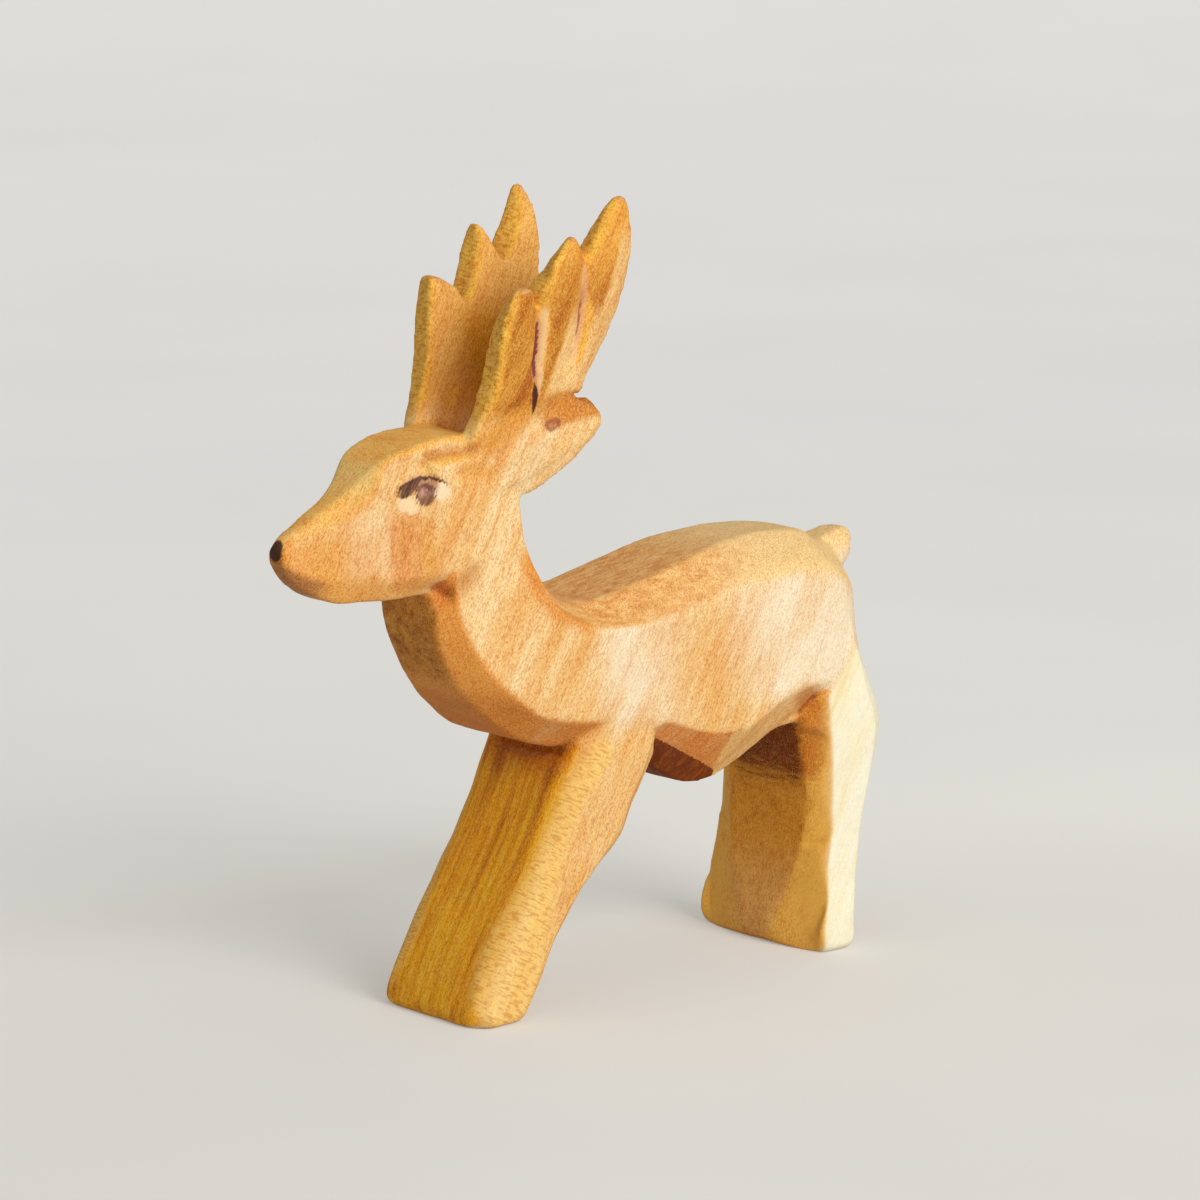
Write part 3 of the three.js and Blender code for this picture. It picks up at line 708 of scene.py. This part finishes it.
def stained(color, grain, cream):
    """The wood's colour with its own streaks and stains: the bands on the cheek, the pale sapwood on the hind
    legs' outer sides, and brown where a limb leaves the body. Over them goes painted shade: on the facet
    under the eye, partly its own colour, in the hollows, low between the antlers, on the belly's lower facet,
    under the chest, where the hind legs meet the belly and along the groove under the jaw."""
    fine, streaks = grain.fine, grain.streaks
    color = color.under(streaks.rise(0.52, 0.75) * 0.25, tone(226, 150, 74), "MULTIPLY")
    # the facet under the eye, partly its own colour and partly painted shade
    color = color.under(layer("band") * layer("side") * 0.75, tone(236, 158, 76))
    band_lines = layer("band") * grain.upright.rise(0.42, 0.66)
    color = color.under(band_lines * 0.35, tone(222, 160, 120), "MULTIPLY")
    stripe = layer("stripe") * layer("side") * (streaks.rise(0.35, 0.6) * 0.3 + 0.45)
    color = color.under(stripe, tone(232, 160, 58))
    sapwood = grain.bands.ramp(
        (0.36, tone(255, 251, 224)),
        (0.54, tone(254, 244, 206)),
        (0.68, tone(250, 226, 168)),
    )
    color = color.under(cream * (1 - layer("front")) * (1 - layer("facet") * 0.8), sapwood)

    stain = (layer("stain") + (grain.across_leg - 0.5) * 0.9).rise(0.3, 0.95) * layer("stain").rise(0.05, 0.5)
    color = color.under(stain, tone(150, 110, 34), "MULTIPLY")
    # painted shade in the hollow where the belly meets the hind leg
    hind_join_shade = (layer("hind_join_shade") + (grain.across_leg - 0.5) * 3.0 + (fine - 0.5) * 1.5).rise(3.2, 0.8)
    color = color.under(hind_join_shade * 0.7, tone(208, 150, 88), "MULTIPLY")
    # painted shade: the belly's lower facet dark brown, with paler streaks in it
    color = color.under((layer("under") + (fine - 0.5) * 0.8).rise(0.3, 0.6) * 0.95, tone(120, 50, 4))
    color = color.under(layer("under") * streaks.rise(0.5, 0.36) * 0.4, tone(190, 110, 40))
    # painted shade under the chest's overhang, drawn out along the legs' streaks
    dusk = (layer("dusk") + (grain.leg_streaks - 0.5) * 0.8).rise(0.2, 1.0)
    color = color.under(dusk * 0.7, tone(206, 160, 90), "MULTIPLY")
    # painted shade low between the antlers
    color = color.under(layer("valley_shade"), tone(220, 198, 24), "MULTIPLY")
    # painted shade: darker in the hollows of the carving
    hollow_shade = (layer("hollow") + (grain.bands - 0.5) * 0.25).rise(0.1, 0.55)
    color = color.under(hollow_shade * 0.75 * (1 - layer("gold") * 0.5), tone(190, 116, 46), "MULTIPLY")

    color = color.under((layer("brow") + (fine - 0.5) * 1.4).rise(1.5, 0.4) * 0.75, tone(198, 120, 48))
    color = color.under((layer("temple") + (fine - 0.5) * 1.4).rise(2.0, 0.4) * 0.5, tone(240, 164, 66))
    color = color.under(layer("ear") * 0.9, tone(216, 136, 44))
    color = color.under(layer("rim") * 0.6, tone(176, 140, 104), "MULTIPLY")
    color = color.under((layer("root") + (fine - 0.5) * 1.6).rise(3.4, 1.0) * 0.7, tone(238, 164, 62))
    color = color.under((layer("nape") + (fine - 0.5) * 1.6).rise(2.6, 0.3) * 0.75, tone(232, 144, 42))
    # painted shade along the groove under the jaw
    hinge = (layer("hinge") + (fine - 0.5) * 1.8).rise(3.0, 0.4)
    return color.under(hinge * 0.5, tone(206, 156, 90), "MULTIPLY")


def open_pored(color, grain, coarse):
    """The wood's colour with fibres and pores over it by a share, and with the short dashes that a knife
    leaves across the grain on the rounded edges."""
    fine, pores, cross = grain.fine, grain.pores, grain.cross
    color = color.under((fine - 0.5).rise(-0.02, 0.16) * 0.34 * coarse, tone(220, 154, 74), "MULTIPLY")
    color = color.under((pores - 0.5).rise(0.02, 0.12) * 0.46 * coarse, tone(206, 148, 74), "MULTIPLY")
    color = color.under((0.5 - pores).rise(0.04, 0.16) * 0.2 * (1 - layer("under")), tone(255, 234, 160))
    color = color.under(layer("dashes") * (1 - layer("ruddy")) * 0.58, tone(255, 206, 110))
    dash = layer("dashes") * (cross - 0.5).rise(-0.02, 0.12)
    gap = layer("dashes") * (0.5 - cross).rise(0.02, 0.14)
    return color.under(dash * 0.3, tone(255, 222, 128)).under(gap * 0.4, tone(200, 146, 60), "MULTIPLY")


def cracked(color, grain):
    """The wood's colour with its faults: the bark that grew in between two tines, with a pale strip beside it
    and a dark hole at its end, the split between the other two, and the knot in the ear."""
    frayed = (grain.fine - 0.5) * 0.9 + (grain.pores - 0.5) * 0.5
    beside = layer("bark_side") + frayed * 0.6
    strip = beside.rise(0.3, 0.7) * beside.rise(2.0, 1.2) * layer("bark_zone")
    color = color.under(strip * 0.6, tone(255, 222, 170))
    bark = layer("bark") + frayed
    color = color.under(bark.rise(1.1, 0.5) * 0.5, tone(228, 158, 122))
    color = color.under(bark.rise(0.6, 0.3) * 0.92, tone(116, 54, 44))
    color = color.under((layer("lens") + frayed * 0.4).rise(0.62, 0.42) * 0.95, tone(70, 32, 32))
    split = layer("split") + frayed * 0.8
    color = color.under(split.rise(1.5, 0.6) * 0.3, tone(255, 206, 170))
    color = color.under(split.rise(0.42, 0.12) * 0.75, tone(140, 70, 32))
    knot = layer("knot") + frayed * 1.5
    color = color.under(knot.rise(1.2, 0.5) * 0.6, tone(176, 100, 56))
    return color.under(abs(knot - 0.65).rise(0.4, 0.1) * 0.5, tone(118, 58, 54))


def oiled_grain():
    """Colour of the oiled wood, and the noises of its fibres and its pores."""
    grain = grain_noises()
    pale_share = layer("pale") * layer("side") * (grain.patches.rise(0.34, 0.6) * 0.5 + 0.42)
    cream = (layer("sap") + (grain.bands - 0.5) * 5.0).rise(-0.6, 1.4) * layer("sap").rise(-0.4, 0.3)
    coarse = (1 - cream * 0.75) * (1 - pale_share * 0.35)
    color = cut_wood(grain, pale_share)
    color = stained(color, grain, cream)
    color = open_pored(color, grain, coarse)
    return cracked(color, grain), grain.fine, grain.pores


def finished(color, fine, pores):
    """Ends the mixing of a finish: satin oil over a slightly open grain."""
    normal = Shade.node(
        "Bump", {"Height": fine * 0.5 + pores * 0.5, "Strength": 0.35, "Distance": 0.15 * MM}, out="Normal"
    )
    roughness = 0.46 + fine * 0.2
    sockets = {"Base Color": color, "Roughness": roughness, "Normal": normal, "Specular IOR Level": 0.15}
    Shade.node("OutputMaterial", {"Surface": Shade.node("BsdfPrincipled", sockets)})


def coated(piece, finish, corners):
    """Gives a piece its finish, and hands on what was worked out for the corners that it has."""
    for name, values in marks.items():
        values_layer = piece.data.attributes.new(name, "FLOAT", "POINT")
        values_layer.data.foreach_set("value", np.asarray(values, np.float32)[corners])
    piece.data.materials.clear()
    piece.data.materials.append(finish)


oiled_wood = new_finish("oiled_wood")
finished(*oiled_grain())
coated(stag, oiled_wood, slice(None))
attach(stag, "root")
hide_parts("carved_deer")

# The eyes are burnt and stained into the wood. Each is a film of it, as wide as the lids: a dark upper lid, a
# brown iris with a pale middle, and wood left pale at both corners.

EYE_PLACE = (-38.1, 86.4)  # the middle of the stain, along the body and up, in millimetres
FRONT_CORNER, REAR_CORNER = (-2.6, -1.9), (2.9, 0.3)  # the pale wood, from there
IRIS, PUPIL = (0.3, -0.1), (0.8, 0.9)
EYE_HALF = (5.4, 3.9)  # half the length and half the height of the film
SKIN_LIFT = 0.03 * MM
SKIN_DEPTH = 0.35 * MM

squares = np.empty(len(stag.data.loops), np.int32)
stag.data.loops.foreach_get("vertex_index", squares)
squares = squares.reshape(-1, 4)


def flake(name, chosen):
    """A thin closed piece of the stag's own skin: the chosen squares stand a little proud, with a floor below
    them and a wall round the rim. Gives the piece and which of the stag's corners it has, first in the top
    and then in the floor."""
    used, faces = np.unique(squares[chosen], return_inverse=True)
    faces = faces.reshape(-1, 4)
    count = len(used)
    sides = np.stack([faces, np.roll(faces, -1, axis=1)], axis=-1).reshape(-1, 2)
    once = ~np.isin(sides @ [count, 1], sides @ [1, count])
    rim = sides[once]
    walls = np.stack([rim[:, 1], rim[:, 0], rim[:, 0] + count, rim[:, 1] + count], axis=1)
    lift = np.full(count, SKIN_LIFT)
    lift[rim] = -SKIN_LIFT
    top = np.clip(places[used] + facing[used] * lift[:, None], np.array(cad_low), np.array(cad_high))
    floor = places[used] - facing[used] * SKIN_DEPTH
    skin = np.concatenate([faces, faces[:, ::-1] + count, walls])
    piece = made_mesh(name, np.concatenate([top, floor]), skin)
    piece.data.polygons.foreach_set("use_smooth", np.arange(len(piece.data.polygons)) < len(faces))
    return piece, np.concatenate([used, used])


def oval(behind, above, middle, wide=1.0, high=1.0):
    """How far a spot is from a middle: the root of wide times one square plus high times the other."""
    aside = behind - middle[0]
    over = above - middle[1]
    return (aside * aside * wide + over * over * high) ** 0.5


eye_colour = new_finish("eye_colour")
color, fine, pores = oiled_grain()
along_body = Shade.node("SeparateXYZ", {"Vector": Shade.node("TexCoord", {}, out="Object")}, out="X")
height = Shade.node("SeparateXYZ", {"Vector": Shade.node("TexCoord", {}, out="Object")}, out="Z")
behind = along_body / MM - EYE_PLACE[0] + (fine - 0.5) * 1.1 + (pores - 0.5) * 0.8
above = height / MM - EYE_PLACE[1] + (fine - 0.5) * 1.1
mottled = (fine - 0.5) * 0.8 + 1.0

corner = oval(behind, above, FRONT_CORNER, high=0.9)
color = color.under(corner.rise(2.3, 1.0) * 0.8, tone(255, 224, 174))
corner = oval(behind, above, REAR_CORNER, wide=0.7)
color = color.under(corner.rise(1.9, 0.9) * 0.85, tone(255, 228, 186))

shadow = abs(behind - 0.2).rise(2.4, 1.4) * above.rise(0.2, 1.0) * above.rise(3.0, 2.6)
color = color.under(shadow * 0.7, tone(176, 122, 100))
iris = oval(behind, above, IRIS, wide=1.5)
color = color.under(iris.rise(2.1, 1.5) * 0.85 * mottled, tone(112, 62, 52))
shine = iris.rise(1.5, 0.8) * (above - behind * 0.5).rise(-0.9, 0.3)
color = color.under(shine * 0.85, tone(214, 158, 132))
pupil = oval(behind, above, PUPIL)
color = color.under(abs(pupil - 0.5).rise(0.45, 0.1) * 0.5, tone(112, 62, 60))

lid_top = 2.88 - (behind - 0.3) * (behind - 0.3) * 0.088
below = lid_top - above
thickness = behind.rise(0.2, -2.0) * 1.8 * abs(behind).rise(5.2, 2.6) + 0.55
lid = below.rise(-0.1, 0.3) * (thickness - below).rise(-0.3, 0.1) * abs(behind).rise(4.6, 3.2)
color = color.under(lid * 0.9 * mottled, tone(88, 46, 36))
finished(color, fine, pores)

middles = places[squares].mean(axis=1) / MM
out = facing[squares].mean(axis=1)
for eye in EYES:
    low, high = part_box(eye)
    side = math.copysign(1, low.y)
    middle = np.array([(low.x + high.x) / 2, (low.z + high.z) / 2]) / MM
    apart = (middles[:, [0, 2]] - middle) / EYE_HALF
    on_cheek = (middles[:, 1] * side > 4) & (out[:, 1] * side > 0.3)
    film, corners = flake(eye + "_film", ((apart**2).sum(axis=1) < 1) & on_cheek)
    coated(film, eye_colour, corners)
    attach(film, "root")
    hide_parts(eye)

# The nose is the end of the muzzle, stained black-brown in an oval at the very front. It is a film as well,
# as long as the mark on the solid, and the stain runs out into the bare wood inside it.

NOSE_MIDDLE = (-61.4, 0, 79.4)
NOSE_HALF = (1.4, 1.5, 1.75)  # half the oval's length, width and height
STAIN_END = 0.6  # how far the film goes on behind the solid's mark

nose_colour = new_finish("nose_colour")
color, fine, pores = oiled_grain()
color = color.under((layer("nose") + (fine - 0.5) * 0.6).rise(1.15, 0.9) * 0.95, tone(66, 36, 26))
finished(color, fine, pores)

mark_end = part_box("nose_tip")[1].x / MM
film, corners = flake("nose_film", middles[:, 0] < mark_end + STAIN_END)
marks["nose"] = np.linalg.norm((left / MM - NOSE_MIDDLE) / NOSE_HALF, axis=1)
coated(film, nose_colour, corners)
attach(film, "root")
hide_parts("nose_tip")

# The table is a sheet of pale grey card that curves up behind the stag, lit by a large soft lamp on the
# stag's left side and by the light of a pale room, with painted light over it that only the camera sees.


def swept_card(half_width, front, back, rise, bend):
    """A floor from front to back that turns up in a quarter circle and goes on up: the profile is carried
    straight across."""
    turn = np.linspace(0, np.pi / 2, 24)
    along_y = np.concatenate([[front], back + bend * np.sin(turn), [back + bend]])
    up = np.concatenate([[0], bend * (1 - np.cos(turn)), [rise]])
    across_x = np.array([-half_width, half_width])
    grid = np.stack(np.broadcast_arrays(across_x[None, :], along_y[:, None], up[:, None]), axis=-1)
    rows = np.arange(len(along_y) - 1)[:, None] * 2
    faces = rows + np.array([0, 1, 3, 2])
    return grid.reshape(-1, 3), faces


CAMERA_PLACE = (-0.52717, -0.59155, 0.21774)
VIEW_TURN = math.radians(-42)
VIEW_DIP = math.radians(11)
PALER_WAY = (0.409, 0.977, 0.0)  # along which the card gets paler in the picture

card_places, card_faces = swept_card(half_width=3.0, front=-1.6, back=1.4, rise=2.6, bend=0.9)
cos, sin = math.cos(VIEW_TURN), math.sin(VIEW_TURN)
turn = np.array([[cos, -sin, 0], [sin, cos, 0], [0, 0, 1]])
card = made_mesh("card", card_places @ turn.T, card_faces)
for face in card.data.polygons:
    face.use_smooth = True
pale = new_finish("pale_card")
place = Shade.node("TexCoord", {}, out="Object")
mottle = Shade.node("TexNoise", {"Vector": place, "Scale": 9.0, "Detail": 2.0})
card_color = mottle.ramp((0.35, tone(207, 205, 201)), (0.65, tone(211, 209, 205)))
seen = Shade.node("LightPath", {}, out="Is Camera Ray")
seen_color = mottle.ramp((0.35, tone(205, 202, 196)), (0.65, tone(209, 206, 200)))
away = Shade.node("VectorMath", {0: place, 1: PALER_WAY}, out="Value", operation="DOT_PRODUCT")
# painted light: the card glows towards the camera alone, more the further back it lies, over what the lamp
# and room give it
glow = away.rise(-0.1, 1.4).ramp(
    (0.0, tone(133, 133, 130)),
    (0.02, tone(138, 138, 134)),
    (0.042, tone(150, 150, 146)),
    (0.2, tone(155, 155, 152)),
    (1.0, tone(176, 176, 176)),
)
seen_glow = Shade.node("Mix", {0: seen, 6: (0.0, 0.0, 0.0, 1.0), 7: glow}, out=2, data_type="RGBA")
matt = Shade.node(
    "BsdfPrincipled",
    {
        "Base Color": card_color.under(seen, seen_color),
        "Roughness": 0.9,
        "Specular IOR Level": 0.1,
        "Emission Color": seen_glow,
        "Emission Strength": 1.0,
    },
)
Shade.node("OutputMaterial", {"Surface": matt})
card.data.materials.append(pale)
card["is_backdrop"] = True

world = bpy.data.worlds.new("room")
bpy.context.scene.world = world
world.use_nodes = True
world.node_tree.nodes["Background"].inputs["Color"].default_value = (1, 1, 1, 1)
world.node_tree.nodes["Background"].inputs["Strength"].default_value = 0.42


def soft_lamp(name, place, aim, size, level):
    """A square lamp that lights what faces it, at the aim, to a level where 1 shows a colour as written."""
    light = bpy.data.lights.new(name, "AREA")
    light.shape = "SQUARE"
    light.size = size
    made = bpy.data.objects.new(name, light)
    bpy.context.scene.collection.objects.link(made)
    made.location = place
    way = np.array(aim) - np.array(place)
    light.energy = level * math.pi**2 * float(way @ way)
    yaw = math.atan2(way[0], -way[1])
    tilt = math.acos(-way[2] / float(np.linalg.norm(way)))
    made.rotation_euler = (tilt, 0, math.pi + yaw)
    return made


soft_lamp("side_lamp", place=(0.0, -1.35, 0.8), aim=(0, 0, 0.06), size=0.9, level=0.68)

camera_data = bpy.data.cameras.new("camera")
camera_data.sensor_width = 36
camera_data.lens = 150
camera = bpy.data.objects.new("camera", camera_data)
bpy.context.scene.collection.objects.link(camera)
camera.location = CAMERA_PLACE
camera.rotation_euler = (math.pi / 2 - VIEW_DIP, 0, VIEW_TURN)
bpy.context.scene.camera = camera
bpy.context.scene.view_settings.view_transform = "Standard"

low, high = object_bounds()
